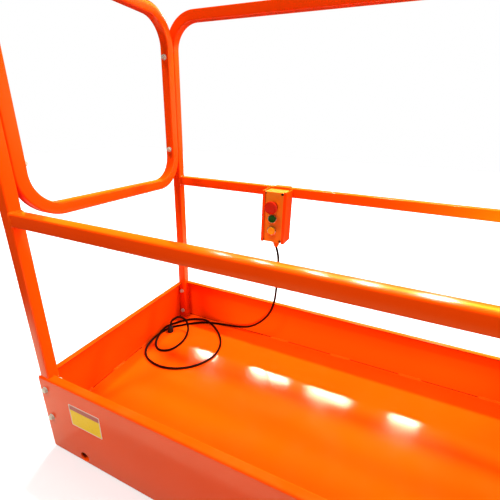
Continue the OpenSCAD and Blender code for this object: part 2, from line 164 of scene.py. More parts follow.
def nodeCopy(name, node, material, bevel, segments=2, body="root"):
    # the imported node's own form, its loose triangles merged to flat faces, with softened edges
    work = bmesh.new()
    work.from_mesh(cadNodes[node].data)
    bmesh.ops.remove_doubles(work, verts=work.verts, dist=merging["packed"])
    bmesh.ops.dissolve_limit(work, angle_limit=math.radians(merging["flat"]), verts=work.verts,
                             edges=work.edges)
    piece = addPiece(name, bpy.data.meshes.new(name), work, material, body, merging["sharp"])
    edgeRound = piece.modifiers.new("edgeRound", "BEVEL")
    edgeRound.width = bevel
    edgeRound.segments = segments
    edgeRound.limit_method = "ANGLE"
    edgeRound.angle_limit = math.radians(merging["sharp"])
    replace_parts(piece, node)
    return piece


def lathed(radius, height, centre, axis, steps):
    # one row of radius and height for each ring round the axis through centre; both may vary round it
    axis = unit(np.asarray(axis, float))
    other = np.array([0.0, 0.0, 1.0]) if abs(axis[2]) < 0.9 else np.array([1.0, 0.0, 0.0])
    side = unit(np.cross(other, axis))
    turn = np.linspace(0, 2 * np.pi, steps, endpoint=False)[:, None]
    ring = np.cos(turn) * side + np.sin(turn) * np.cross(axis, side)
    return skin(np.asarray(centre, float) + radius[..., None] * ring + height[..., None] * axis)


def capped(profile, centre, axis, steps=32):
    # profile rows are (radius, height), each turned round the axis; both ends are closed
    profile = np.asarray(profile, float)
    return lathed(profile[:, :1], profile[:, 1:], centre, axis, steps)


def carried(section, path, side, closed=False, tangent=None):
    # section rows are (a, b); at each path point it lies at a * side + b * (side x tangent)
    section, path = np.asarray(section, float), np.asarray(path, float)
    tangent = unit(np.gradient(path, axis=0) if tangent is None else tangent)
    side = np.broadcast_to(np.asarray(side, float), path.shape)
    side = unit(side - (side * tangent).sum(1, keepdims=True) * tangent)
    other = np.cross(side, tangent)
    return skin(path[:, None] + section[None, :, :1] * side[:, None] + section[None, :, 1:] * other[:, None],
                closed)


def circleSection(radius, sides):
    turn = np.linspace(0, 2 * np.pi, sides, endpoint=False)
    return np.stack([radius * np.cos(turn), radius * np.sin(turn)], 1)


def roundedSection(width, height, radius, steps):
    # corners are quarter circles, run through anticlockwise
    corner = np.linspace(0, np.pi / 2, steps)
    parts = []
    for k, (sx, sy) in enumerate(((1, 1), (-1, 1), (-1, -1), (1, -1))):
        turn = corner + k * np.pi / 2
        middle = np.array([sx * (width / 2 - radius), sy * (height / 2 - radius)])
        parts.append(middle + radius * np.stack([np.cos(turn), np.sin(turn)], 1))
    return np.vstack(parts)


def upright(flat, y):
    # rows (x, z) stood up in the plane at y
    return np.stack([flat[:, 0], np.full(len(flat), y), flat[:, 1]], 1)


def roundedBlock(place, width, height, depth, corner, front, back):
    # a box facing -Y with rounded outline corners; its front and back edges are quarter circles
    turn = np.linspace(0, np.pi / 2, 4)
    insets = np.concatenate([front * (1 - np.sin(turn)), back * (1 - np.cos(turn))])
    depths = np.concatenate([front * (1 - np.cos(turn)), depth - back + back * np.sin(turn)])
    rings = [upright(roundedSection(width - 2 * inset, height - 2 * inset, corner - 0.9 * inset, 7), y)
             for inset, y in zip(insets, depths)]
    return skin(np.stack(rings) + np.asarray(place, float))


def bent(corner, start, end, radius, steps):
    # quarter circle that leaves one straight and meets the next; start and end are unit directions
    turn = np.linspace(0, np.pi / 2, steps)[:, None]
    middle = corner + radius * (end - start)
    points = middle + radius * (np.sin(turn) * start - np.cos(turn) * end)
    return points, np.cos(turn) * start + np.sin(turn) * end


# Shader helpers

def addNode(tree, kind, **settings):
    node = tree.nodes.new(kind)
    for key, value in settings.items():
        setattr(node, key, value)
    return node


def wire(tree, source, target):
    # source is another node's output or a plain value
    if isinstance(source, bpy.types.NodeSocket):
        tree.links.new(source, target)
    else:
        target.default_value = source


def coords(tree, kind="Object"):
    return addNode(tree, "ShaderNodeTexCoord").outputs[kind]


def axesOf(tree, vector):
    node = addNode(tree, "ShaderNodeSeparateXYZ")
    wire(tree, vector, node.inputs[0])
    return node.outputs


def noiseNode(tree, vector, scale, detail):
    node = addNode(tree, "ShaderNodeTexNoise")
    for label, value in (("Vector", vector), ("Scale", scale), ("Detail", detail)):
        wire(tree, value, node.inputs[label])
    return node.outputs["Fac"]


def mathNode(tree, operation, a, b, clamp=False):
    node = addNode(tree, "ShaderNodeMath", operation=operation, use_clamp=clamp)
    wire(tree, a, node.inputs[0])
    wire(tree, b, node.inputs[1])
    return node.outputs[0]


def vectorNode(tree, operation, *values):
    # a length or dot product comes out as a number, all else as a vector
    node = addNode(tree, "ShaderNodeVectorMath", operation=operation)
    for socket, value in zip(node.inputs, values):
        wire(tree, value, socket)
    return node.outputs["Value" if operation in ("DOT_PRODUCT", "LENGTH") else "Vector"]


def rangeNode(tree, value, low, high, toLow=0.0, toHigh=1.0):
    node = addNode(tree, "ShaderNodeMapRange", interpolation_type="SMOOTHSTEP")
    for label, number in (("Value", value), ("From Min", low), ("From Max", high), ("To Min", toLow),
                          ("To Max", toHigh)):
        wire(tree, number, node.inputs[label])
    return node.outputs["Result"]


def mixColour(tree, share, a, b):
    # a plain colour is (red, green, blue)
    node = addNode(tree, "ShaderNodeMix", data_type="RGBA")
    wire(tree, share, node.inputs["Factor"])
    for socket, value in ((node.inputs[6], a), (node.inputs[7], b)):  # the colour pair of the node
        wire(tree, value + (1.0,) if isinstance(value, tuple) else value, socket)
    return node.outputs[2]


def newGroup(name, inputs, outputs):
    # every socket of these groups is a plain number
    group = bpy.data.node_groups.new(name, "ShaderNodeTree")
    for way, labels in (("INPUT", inputs), ("OUTPUT", outputs)):
        for label in labels:
            group.interface.new_socket(label, in_out=way, socket_type="NodeSocketFloat")
    return group, addNode(group, "NodeGroupInput").outputs, addNode(group, "NodeGroupOutput").inputs


# edge is a lighter, yellower orange painted on the outer edges as a highlight
paint = dict(orange=(0.90, 0.056, 0.0006), deck=(0.92, 0.064, 0.0006), edge=(0.95, 0.12, 0.003), shade=0.9,
             specular=0.3, tint=(1.0, 0.66, 0.25, 1.0), edgeReach=0.0025, edgeGain=2.2, relief=0.0012,
             peel=0.03, peelScale=420.0, waveScale=5.0, toneScale=2.1, roughScale=9.0, rough=(-0.02, 0.03),
             dust=(0.62, 0.30, 0.07), dustScale=14.0, dustRough=0.5)


def edgeGroup():
    # mask of the outer edges: how far a rounded normal leans away from the true one
    group, start, end = newGroup("edgeMask", ("Reach", "Gain"), ("Mask",))
    rounded = addNode(group, "ShaderNodeBevel", samples=4)
    wire(group, start["Reach"], rounded.inputs["Radius"])
    flat = addNode(group, "ShaderNodeNewGeometry")
    agree = vectorNode(group, "DOT_PRODUCT", rounded.outputs["Normal"], flat.outputs["Normal"])
    lean = mathNode(group, "SUBTRACT", 1.0, agree)
    wire(group, mathNode(group, "MULTIPLY", lean, start["Gain"], clamp=True), end["Mask"])
    return group


def coatGroup():
    # powder coat: fine peel, slow sheet waves and a slow drift of tone, all from the place in metres
    group, start, end = newGroup("powderCoat", ("Wave", "Along"), ("Height", "Tone", "Rough"))
    where = coords(group)
    stretch = addNode(group, "ShaderNodeCombineXYZ")
    stretch.inputs["Y"].default_value = stretch.inputs["Z"].default_value = 1.0
    wire(group, start["Along"], stretch.inputs["X"])
    rolled = vectorNode(group, "MULTIPLY", where, stretch.outputs[0])
    fine = mathNode(group, "MULTIPLY", noiseNode(group, where, paint["peelScale"], 1.0), paint["peel"])
    slow = mathNode(group, "MULTIPLY", noiseNode(group, rolled, paint["waveScale"], 1.0), start["Wave"])
    wire(group, mathNode(group, "ADD", fine, slow), end["Height"])
    wire(group, noiseNode(group, where, paint["toneScale"], 2.0), end["Tone"])
    patchy = noiseNode(group, where, paint["roughScale"], 4.0)
    wire(group, rangeNode(group, patchy, 0.3, 0.7, *paint["rough"]), end["Rough"])
    return group


def dustGroup():
    # fine dust that lies on what faces up, in soft patches
    group, start, end = newGroup("restingDust", ("Amount",), ("Mask",))
    facing = axesOf(group, addNode(group, "ShaderNodeNewGeometry").outputs["Normal"])
    upward = mathNode(group, "MULTIPLY", facing["Z"], 1.0, clamp=True)
    spots = rangeNode(group, noiseNode(group, coords(group), paint["dustScale"], 6.0), 0.42, 0.75)
    lying = mathNode(group, "MULTIPLY", spots, upward)
    wire(group, mathNode(group, "MULTIPLY", lying, start["Amount"]), end["Mask"])
    return group


edgeMask, powderCoat, restingDust = edgeGroup(), coatGroup(), dustGroup()


def groupNode(tree, group, **values):
    node = addNode(tree, "ShaderNodeGroup", node_tree=group)
    for label, value in values.items():
        node.inputs[label].default_value = value
    return node.outputs


def newMaterial(name, **sockets):
    material = bpy.data.materials.new(name)
    material.use_nodes = True
    tree = material.node_tree
    shader = tree.nodes["Principled BSDF"]
    for label, value in sockets.items():
        shader.inputs[label.replace("_", " ")].default_value = value
    return material, tree, shader


def bumpNode(tree, shader, height, distance):
    bump = addNode(tree, "ShaderNodeBump")
    bump.inputs["Distance"].default_value = distance
    wire(tree, height, bump.inputs["Height"])
    wire(tree, bump.outputs["Normal"], shader.inputs["Normal"])


def paintMaterial(name, colour, roughness, wave, dust, along=1.0):
    # along is under 1 where the waves are stretched along X
    material, tree, shader = newMaterial(name, Specular_IOR_Level=paint["specular"],
                                         Specular_Tint=paint["tint"])
    coat = groupNode(tree, powderCoat, Wave=wave, Along=along)
    edge = groupNode(tree, edgeMask, Reach=paint["edgeReach"], Gain=paint["edgeGain"])
    dusty = groupNode(tree, restingDust, Amount=dust)["Mask"]
    darker = tuple(c * paint["shade"] for c in colour)
    toned = mixColour(tree, rangeNode(tree, coat["Tone"], 0.35, 0.65), colour, darker)
    # painted highlight: the outer edges are mixed towards the lighter edge colour
    edgeLit = mixColour(tree, edge["Mask"], toned, paint["edge"])
    wire(tree, mixColour(tree, dusty, edgeLit, paint["dust"]), shader.inputs["Base Color"])
    rough = mathNode(tree, "ADD", coat["Rough"], roughness)
    duller = mathNode(tree, "MULTIPLY", dusty, paint["dustRough"])
    wire(tree, mathNode(tree, "ADD", rough, duller), shader.inputs["Roughness"])
    bumpNode(tree, shader, coat["Height"], paint["relief"])
    return material


orangePaint = paintMaterial("orangePaint", paint["orange"], roughness=0.14, wave=0.25, dust=0.03)
# painted light: the deck's colour is a lighter copy of the orange paint, standing in for the brighter light
# on the deck
deckPaint = paintMaterial("deckPaint", paint["deck"], roughness=0.08, wave=0.35, dust=0.01, along=0.3)

plain = dict(shade=0.88, shadeScale=60.0, roughScale=130.0, smoother=0.05, rougher=0.08, relief=0.00006)


def plainMaterial(name, colour, roughness, metallic=0.0, specular=0.25, grain=900.0):
    material, tree, shader = newMaterial(name, Metallic=metallic, Specular_IOR_Level=specular)
    where = coords(tree)
    shade = tuple(c * plain["shade"] for c in colour)
    toned = mixColour(tree, noiseNode(tree, where, plain["shadeScale"], 3.0), colour, shade)
    wire(tree, toned, shader.inputs["Base Color"])
    rough = rangeNode(tree, noiseNode(tree, where, plain["roughScale"], 3.0), 0.3, 0.7,
                      roughness - plain["smoother"], roughness + plain["rougher"])
    wire(tree, rough, shader.inputs["Roughness"])
    bumpNode(tree, shader, noiseNode(tree, where, grain, 1.0), plain["relief"])
    return material


zincSteel = plainMaterial("zincSteel", (0.66, 0.64, 0.52), 0.42, metallic=0.3, specular=0.5)
darkSteel = plainMaterial("darkSteel", (0.10, 0.085, 0.065), 0.45, metallic=0.7)
ringSteel = plainMaterial("ringSteel", (0.78, 0.70, 0.56), 0.24, metallic=1.0)
boxPlastic = plainMaterial("boxPlastic", (0.80, 0.205, 0.0025), 0.42)
redPlastic = plainMaterial("redPlastic", (0.52, 0.014, 0.0006), 0.36, specular=0.2)
greenPlastic = plainMaterial("greenPlastic", (0.0003, 0.150, 0.008), 0.36, specular=0.2)
yellowPlastic = plainMaterial("yellowPlastic", (0.95, 0.36, 0.002), 0.36, specular=0.2)
blackPlastic = plainMaterial("blackPlastic", (0.018, 0.015, 0.013), 0.45)
cordRubber = plainMaterial("cordRubber", (0.006, 0.002, 0.001), 0.48, specular=0.2, grain=1400.0)
# painted shade: a dark paint for the strip under the lips' inner edges
lipShadePaint = plainMaterial("lipShadePaint", (0.30, 0.014, 0.0003), 0.5, specular=0.1)
# painted shade: near-black paint for the strips in the tray's open joints
jointShadePaint = plainMaterial("jointShadePaint", (0.030, 0.003, 0.001), 0.8, specular=0.0)
print("materials made")


# Cord: the route's points are X, Y and height above the deck

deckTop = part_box("deck")[1].z
cordSpec = dict(diameter=0.008, sides=16, steps=12)
cordRoute = np.array([
    [-0.190, 0.255, 0.405], [-0.181, 0.255, 0.374], [-0.177, 0.255, 0.320], [-0.180, 0.258, 0.262],
    [-0.188, 0.265, 0.190], [-0.208, 0.274, 0.130], [-0.244, 0.285, 0.078], [-0.292, 0.295, 0.036],
    [-0.346, 0.301, 0.015], [-0.400, 0.302, 0.006], [-0.446, 0.295, 0.0042], [-0.490, 0.280, 0.0042],
    [-0.530, 0.253, 0.0042], [-0.566, 0.220, 0.0042], [-0.594, 0.186, 0.0042], [-0.607, 0.142, 0.0042],
    [-0.607, 0.092, 0.0042], [-0.594, 0.044, 0.0042], [-0.564, 0.008, 0.0042], [-0.520, -0.010, 0.0042],
    [-0.474, -0.011, 0.0042], [-0.430, 0.004, 0.0042], [-0.390, 0.034, 0.0042], [-0.362, 0.078, 0.0042],
    [-0.351, 0.128, 0.0042], [-0.362, 0.182, 0.0042], [-0.392, 0.228, 0.005], [-0.434, 0.262, 0.010],
    [-0.482, 0.283, 0.0134], [-0.530, 0.284, 0.007], [-0.568, 0.262, 0.0042], [-0.594, 0.222, 0.006],
    [-0.604, 0.182, 0.0118], [-0.603, 0.146, 0.0136], [-0.594, 0.108, 0.009], [-0.576, 0.074, 0.0042],
    [-0.544, 0.056, 0.0042], [-0.513, 0.072, 0.0042], [-0.500, 0.110, 0.0042], [-0.502, 0.156, 0.005],
    [-0.514, 0.194, 0.018], [-0.536, 0.211, 0.042], [-0.560, 0.200, 0.056], [-0.577, 0.180, 0.048],
    [-0.581, 0.170, 0.028]])


def smoothRoute(points, steps):
    # each stretch is the cubic that leaves a point along the line between its two neighbours
    p = np.vstack([points[:1], points, points[-1:]])
    a, b, c, d = (p[k:len(p) - 3 + k, None] for k in range(4))
    t = np.linspace(0, 1, steps, endpoint=False)[None, :, None]
    curve = 0.5 * (2 * b + (c - a) * t + (2 * a - 5 * b + 4 * c - d) * t ** 2
                   + (3 * b - a - 3 * c + d) * t ** 3)
    return np.vstack([curve.reshape(-1, 3), points[-1:]])


cordPath = smoothRoute(cordRoute, cordSpec["steps"]) + np.array([0, 0, deckTop])
cord = makePiece("controlCord", carried(circleSection(cordSpec["diameter"] / 2, cordSpec["sides"]), cordPath,
                                        side=(0.35, -0.2, 0.9)), cordRubber)
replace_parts(cord, "cord")


# Tray: boards, deck and underframe keep their packed form with softened sheet edges

bevels = dict(toe_board_near=0.5, toe_board_far=0.5, toe_board_left=0.5, toe_board_right=0.5,
              cross_member_left=0.6, cross_member_middle=0.6, cross_member_right=0.6,
              roller_track_near=0.6, roller_track_far=0.6, pivot_lug_near=0.8, pivot_lug_far=0.8,
              gate_stop=0.6, control_holder=0.5)
for name, bevel in bevels.items():
    nodeCopy(name + "Sheet", name, orangePaint, bevel * mm)
deckPlate = nodeCopy("deckPlate", "deck", deckPaint, 0.4 * mm)
print("tray made")


# Tubes: a rounded square carried along straights and quarter bends

tube = dict(width=0.030, corner=0.004, bend=0.090, cornerSteps=6, bendSteps=24)
tubeHalf = tube["width"] / 2
tubeSection = roundedSection(tube["width"], tube["width"], tube["corner"], tube["cornerSteps"])
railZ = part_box("top_rail_far")[1].z - tubeHalf
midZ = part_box("mid_rail_far")[0].z + tubeHalf
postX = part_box("post_far_right")[0].x + tubeHalf
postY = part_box("post_far_right")[0].y + tubeHalf
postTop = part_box("post_far_right")[1].z


def bendsThrough(corners, radius, steps, closed):
    # straights between the corners, each corner replaced by a quarter circle; returns points, tangents
    corners = np.asarray(corners, float)
    count = len(corners)
    turns = range(count) if closed else range(1, count - 1)
    points, tangents = [], []
    if not closed:
        points.append(corners[:1])
        tangents.append(unit(corners[1:2] - corners[:1]))
    for k in turns:
        before, after = corners[k - 1], corners[(k + 1) % count]
        arc, along = bent(corners[k], unit(corners[k] - before), unit(after - corners[k]), radius, steps)
        points.append(arc)
        tangents.append(along)
    if not closed:
        points.append(corners[-1:])
        tangents.append(unit(corners[-1:] - corners[-2:-1]))
    return np.concatenate(points), np.concatenate(tangents)


def tubeRun(corners, side, closed=False):
    path, tangent = bendsThrough(corners, tube["bend"], tube["bendSteps"], closed)
    return carried(tubeSection, path, side, closed=closed, tangent=tangent)


def tubeLoop(name, node, body):
    low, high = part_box(node)
    x = (low.x + high.x) / 2
    y0, y1, z0, z1 = low.y + tubeHalf, high.y - tubeHalf, low.z + tubeHalf, high.z - tubeHalf
    shape = tubeRun([(x, y0, z0), (x, y1, z0), (x, y1, z1), (x, y0, z1)], (1, 0, 0), closed=True)
    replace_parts(makePiece(name, shape, orangePaint, body), node)


def straightTube(name, node, start, end):
    rail = makePiece(name, carried(tubeSection, [start, end], (0, 1, 0)), orangePaint)
    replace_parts(rail, node)
    return rail


midRails = {}
for side, label in ((-1, "near"), (1, "far")):
    y = side * postY
    arch = tubeRun([(-postX, y, postTop), (-postX, y, railZ), (postX, y, railZ), (postX, y, postTop)],
                   (0, 1, 0))
    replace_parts(makePiece(label + "TopRail", arch, orangePaint), "top_rail_" + label)
    midRails[label] = straightTube(label + "MidRail", "mid_rail_" + label, (tubeHalf - postX, y, midZ),
                                   (postX - tubeHalf, y, midZ))
    for sign, end in ((-1, "left"), (1, "right")):
        straightTube(label + end.title() + "Post", f"post_{label}_{end}", (sign * postX, y, deckTop),
                     (sign * postX, y, postTop))
tubeLoop("endGuard", "end_guard", "root")
tubeLoop("gateFrame", "gate_frame", "gate")
print("tubes made")


# Weld beads: a ripple-backed fillet in the corner of two faces

weld = dict(leg=0.0042, ripple=0.10, pitch=0.0032, step=0.0008, sides=6, taper=0.006, sway=0.05,
            swayRate=310.0, flatter=0.17, sunk=0.0006)


def beadGrid(path, towardA, towardB, leg, closed=False):
    # at each path point a convex arc runs from leg along one face to leg along the other; leg swells
    # with each ripple, whose crest lags at the bead's edges, and sinks to nothing at an open end
    path = np.asarray(path, float)
    towardA, towardB = (np.broadcast_to(np.asarray(v, float), path.shape) for v in (towardA, towardB))
    gone = np.concatenate([[0], np.cumsum(np.linalg.norm(np.diff(path, axis=0), axis=1))])
    turn = np.linspace(0, np.pi / 2, weld["sides"])
    crest = gone[:, None] + 0.5 * weld["pitch"] * np.cos(2 * turn)[None] ** 2
    swell = 1 - weld["ripple"] + 2 * weld["ripple"] * np.abs(np.cos(np.pi * crest / weld["pitch"]))
    swell *= 1 + weld["sway"] * np.sin(gone * weld["swayRate"])[:, None]
    left = np.minimum(gone, gone[-1] - gone)
    ends = np.ones(len(path)) if closed else np.clip(left / weld["taper"], 0, 1)
    size = leg * swell * np.sqrt(ends)[:, None] * (1 - weld["flatter"] * np.sin(2 * turn))[None]
    arc = np.cos(turn)[None, :, None] * towardA[:, None] + np.sin(turn)[None, :, None] * towardB[:, None]
    root = path - weld["sunk"] * (towardA + towardB)
    rings = np.concatenate([path[:, None] + size[..., None] * arc, root[:, None]], 1)
    return skin(rings, closed, ends=False)


def straightBead(start, end, towardA, towardB, leg):
    start, end = np.asarray(start, float), np.asarray(end, float)
    count = max(8, int(np.linalg.norm(end - start) / weld["step"]))
    share = np.linspace(0, 1, count)[:, None]
    return beadGrid(start + share * (end - start), towardA, towardB, leg)


def centredBead(middle, run, towardA, towardB, leg=weld["leg"]):
    # run is the bead's direction and length in one
    middle, half = np.asarray(middle, float), np.asarray(run, float) / 2
    return straightBead(middle - half, middle + half, towardA, towardB, leg)


def ringBead(centre, across, up, out, leg):
    # all round a square tube whose end meets a face; out points back along the tube
    outline = roundedSection(tube["width"], tube["width"], tube["corner"], 8)
    ends = np.vstack([outline, outline[:1]])
    gone = np.concatenate([[0], np.cumsum(np.linalg.norm(np.diff(ends, axis=0), axis=1))])
    at = np.linspace(0, gone[-1], int(gone[-1] / weld["step"]), endpoint=False)
    flat = np.stack([np.interp(at, gone, ends[:, k]) for k in (0, 1)], 1)
    core = np.clip(flat, tube["corner"] - tubeHalf, tubeHalf - tube["corner"])
    away = unit(flat - core + 1e-9 * flat)
    across, up, out = (np.asarray(v, float) for v in (across, up, out))
    path = np.asarray(centre, float) + flat[:, :1] * across + flat[:, 1:] * up
    return beadGrid(path, away[:, :1] * across + away[:, 1:] * up, out, leg, closed=True)


sheet = 0.004
boardX, boardY = cadBox[1].x - sheet, cadBox[1].y - sheet  # inner faces of the toe boards
stitch = dict(length=0.072, pitch=0.233, first=0.059, ends=(-0.205, -0.068, 0.069, 0.206), short=0.054)
beads = []
for k in range(-2, 3):
    for side in (-1, 1):
        beads.append(centredBead((stitch["first"] + k * stitch["pitch"], side * boardY, deckTop),
                                 (stitch["length"], 0, 0), (0, -side, 0), (0, 0, 1)))
for y in stitch["ends"]:
    for side in (-1, 1):
        beads.append(centredBead((side * boardX, y, deckTop), (0, stitch["short"], 0), (-side, 0, 0),
                                 (0, 0, 1)))
makePiece("trayWelds", joined(beads), orangePaint, sharp=60)

railWeld = dict(ringLeg=0.0026, footLeg=0.003, footLength=0.026)
beads = []
for side in (-1, 1):
    for end in (-1, 1):
        x, y = end * postX, side * postY
        beads.append(ringBead((x - end * tubeHalf, y, midZ), (0, 1, 0), (0, 0, 1), (-end, 0, 0),
                              railWeld["ringLeg"]))
        beads.append(centredBead((x - end * tubeHalf, y, deckTop), (0, railWeld["footLength"], 0),
                                 (-end, 0, 0), (0, 0, 1), railWeld["footLeg"]))
        beads.append(centredBead((x, y - side * tubeHalf, deckTop), (railWeld["footLength"], 0, 0),
                                 (0, -side, 0), (0, 0, 1), railWeld["footLeg"]))
makePiece("railWelds", joined(beads), orangePaint, sharp=60)

under = dict(deck=0.086, foot=0.056, half=0.020, leg=0.0034, stitches=(-0.2, 0.0, 0.2), length=0.045,
             clear=0.001, lugX=-0.5, lugY=0.202, lugLength=0.044, earInside=0.016, earLength=0.036,
             base=0.048, track=(0.186, 0.218))
beads = []
for node in ("cross_member_left", "cross_member_middle", "cross_member_right"):
    middle = (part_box(node)[0].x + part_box(node)[1].x) / 2
    for side in (-1, 1):
        x, leg, outward = middle + side * under["half"], under["leg"], (side, 0, 0)
        for y in under["stitches"]:
            beads.append(centredBead((x, y, under["deck"]), (0, under["length"], 0), outward, (0, 0, -1),
                                     leg))
        for y in (-boardY, boardY):
            beads.append(straightBead((x, y, under["foot"] + under["clear"]),
                                      (x, y, under["deck"] - under["clear"]), outward,
                                      (0, -np.sign(y), 0), leg))
        for y in (-1, 1):
            if node != "cross_member_left":
                start, end = ((x, y * reach, under["foot"]) for reach in under["track"])
                beads.append(straightBead(start, end, outward, (0, 0, 1), leg))
            else:
                beads.append(centredBead((x, y * under["lugY"], under["foot"]), (0, under["lugLength"], 0),
                                         outward, (0, 0, 1), leg))
                inner = y * under["lugY"] + side * under["earInside"]
                beads.append(centredBead((under["lugX"], inner, under["base"]), (under["earLength"], 0, 0),
                                         (0, -side, 0), (0, 0, -1), leg))
makePiece("frameWelds", joined(beads), orangePaint, sharp=60)
print("welds made")


# Painted shade in the open joints between deck and boards: a dark strip where no bead closes them

joint = dict(width=0.0016, height=0.0009, shape=((0, 0), (1, 0), (0.5, 0.4), (0, 1)))
seams = []
for side in (-1, 1):
    for end, run, inward in (((-boardX, side * boardY, deckTop), (2 * boardX, 0, 0), (0, -side, 0)),
                             ((side * boardX, -boardY, deckTop), (0, 2 * boardY, 0), (-side, 0, 0))):
        filled = [a * joint["width"] * np.array(inward) + b * joint["height"] * np.array([0, 0, 1])
                  for a, b in joint["shape"]]
        start = np.array(filled) + np.array(end)
        seams.append(skin(np.stack([start, start + np.array(run)])))
makePiece("trayJointShade", joined(seams), jointShadePaint)


# Painted shade on the folded lips' cut edges, a thin dark strip; rows are (share of proud, depth down)

lip = dict(width=0.020, proud=0.00025, longEnd=0.585, shortEnd=0.285,
           rows=((0, 0.0004), (1, 0.0006), (1, 0.0036), (0, 0.0038)))
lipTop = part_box("toe_board_near")[1].z
edges = []
for side in (-1, 1):
    for inward, reach, end in ((np.array([0, -side, 0.0]), -cadBox[0].y - lip["width"], lip["longEnd"]),
                               (np.array([-side, 0, 0.0]), -cadBox[0].x - lip["width"], lip["shortEnd"])):
        rows = [(lip["proud"] * share - reach) * inward + np.array([0, 0, lipTop - down])
                for share, down in lip["rows"]]
        run = end * np.abs(inward[[1, 0, 2]])
        edges.append(skin(np.stack([np.array(rows) - run, np.array(rows) + run])))
makePiece("lipEdgeShade", joined(edges), lipShadePaint)


# Blank label on the near board: a thin film with rounded corners

blank = dict(left=-0.522, top=0.2005, width=0.105, height=0.070, thick=0.00025, corner=0.003, rim=0.0025,
             header=0.017, margin=(0.80, 0.62, 0.50), band=(0.46, 0.085, 0.075),
             field=(0.95, 0.58, 0.001), worn=(0.45, 0.22, 0.12), wornScale=160.0, wornShare=0.25)


def labelMaterial():
    # plain fields by the place on the board: a pale margin, a mauve header, a yellow field
    material, tree, shader = newMaterial("labelFilm", Specular_IOR_Level=0.2)
    spot = axesOf(tree, coords(tree))
    left, top, rim = blank["left"], blank["top"], blank["rim"]

    def within(socket, low, high):
        above = mathNode(tree, "GREATER_THAN", spot[socket], low)
        return mathNode(tree, "MULTIPLY", above, mathNode(tree, "LESS_THAN", spot[socket], high))

    inside = mathNode(tree, "MULTIPLY", within("X", left + rim, left + blank["width"] - rim),
                      within("Z", top - blank["height"] + rim, top - rim))
    field = mixColour(tree, within("Z", top - blank["header"], top), blank["field"], blank["band"])
    shown = mixColour(tree, inside, blank["margin"], field)
    worn = noiseNode(tree, coords(tree), blank["wornScale"], 4.0)
    rubbed = rangeNode(tree, worn, 0.55, 0.8, 0.0, blank["wornShare"])
    wire(tree, mixColour(tree, rubbed, shown, blank["worn"]), shader.inputs["Base Color"])
    wire(tree, rangeNode(tree, worn, 0.3, 0.7, 0.28, 0.42), shader.inputs["Roughness"])
    return material


def labelSheet():
    flat = roundedSection(blank["width"], blank["height"], blank["corner"], 6)
    flat = flat + np.array([blank["left"] + blank["width"] / 2, blank["top"] - blank["height"] / 2])
    return skin(np.stack([upright(flat, cadBox[0].y - proud) for proud in (0, blank["thick"])]))


makePiece("blankLabel", labelSheet(), labelMaterial())
print("label placed")


# Bolts: hexagon heads outside, washers and nuts with the thread's end inside
# chamfer rows are (depth below the top, how much the cone has grown there)

hexBolt = dict(across=0.013, head=0.0053, nut=0.0065, washer=0.0085, washerThick=0.0016, washerEdge=0.0003,
               shank=0.004, stub=0.003, pitch=0.0005, groove=0.00035, point=0.0009, steps=48, crown=0.95,
               chamfer=((0.0009, 0.00156), (0.0007, 0.0012), (0.0005, 0.00087), (0.0003, 0.0005), (0, 0)),
               postHeights=(0.120, 0.213), guardHeights=(0.781, 1.061), guardInside=0.045, turnOn=0.37)


def hexShape(centre, axis, height, turned):
    # each ring's radius is the smaller of the hexagon's and that of a cone that cuts the corners
    flat = hexBolt["across"] / 2
    down, grown = np.array(hexBolt["chamfer"]).T
    angle = np.linspace(0, 2 * np.pi, hexBolt["steps"], endpoint=False)
    hexagon = flat / np.cos((angle + turned) % (np.pi / 3) - np.pi / 6)
    cone = np.array([1.0, *(flat * hexBolt["crown"] + grown), flat / 2])
    heights = np.array([0.0, *(height - down), height])
    return lathed(np.minimum(hexagon, cone[:, None]), heights[:, None], centre, axis, len(angle))


def washerShape(centre, axis):
    inner, outer, thick, edge = (hexBolt[k] for k in ("shank", "washer", "washerThick", "washerEdge"))
    return capped([(inner, 0), (outer - edge, 0), (outer, edge), (outer, thick - edge), (outer - edge, thick),
                   (inner, thick)], centre, axis)


def boltPair(head, nut, axis, turned):
    # head lies on a face that looks along axis, and nut on one that looks the other way
    head, nut, axis = (np.asarray(v, float) for v in (head, nut, axis))
    r, thick, pitch = (hexBolt[k] for k in ("shank", "washerThick", "pitch"))
    stub = hexBolt["nut"] + hexBolt["stub"]
    turns = np.arange(stub - 2 * pitch, hexBolt["nut"] - pitch, -pitch)[::-1]
    thread = [(r, thick)] + [(r - hexBolt["groove"] * (k % 2), thick + h) for k, h in enumerate(turns)]
    thread.append((r - hexBolt["point"], thick + stub))
    return [washerShape(head, axis), hexShape(head + thick * axis, axis, hexBolt["head"], turned),
            washerShape(nut, -axis), hexShape(nut - thick * axis, -axis, hexBolt["nut"], 1 - turned),
            capped(thread, nut, -axis, 24)]


fixings = []
turned = 0.1
for side in (-1, 1):
    rows = [(end * postX, boardY + sheet, postY - tubeHalf, z) for end in (-1, 1)
            for z in hexBolt["postHeights"]]
    rows += [(-postX, postY + tubeHalf, postY - hexBolt["guardInside"], z) for z in hexBolt["guardHeights"]]
    for x, outer, inner, z in rows:
        fixings += boltPair((x, side * outer, z), (x, side * inner, z), (0, side, 0), turned)
        turned = (turned + hexBolt["turnOn"]) % 1.0
makePiece("bolts", joined(fixings), zincSteel, sharp=28)
print("bolts made")


# Control station: profiles are (radius, height) over the cover's face

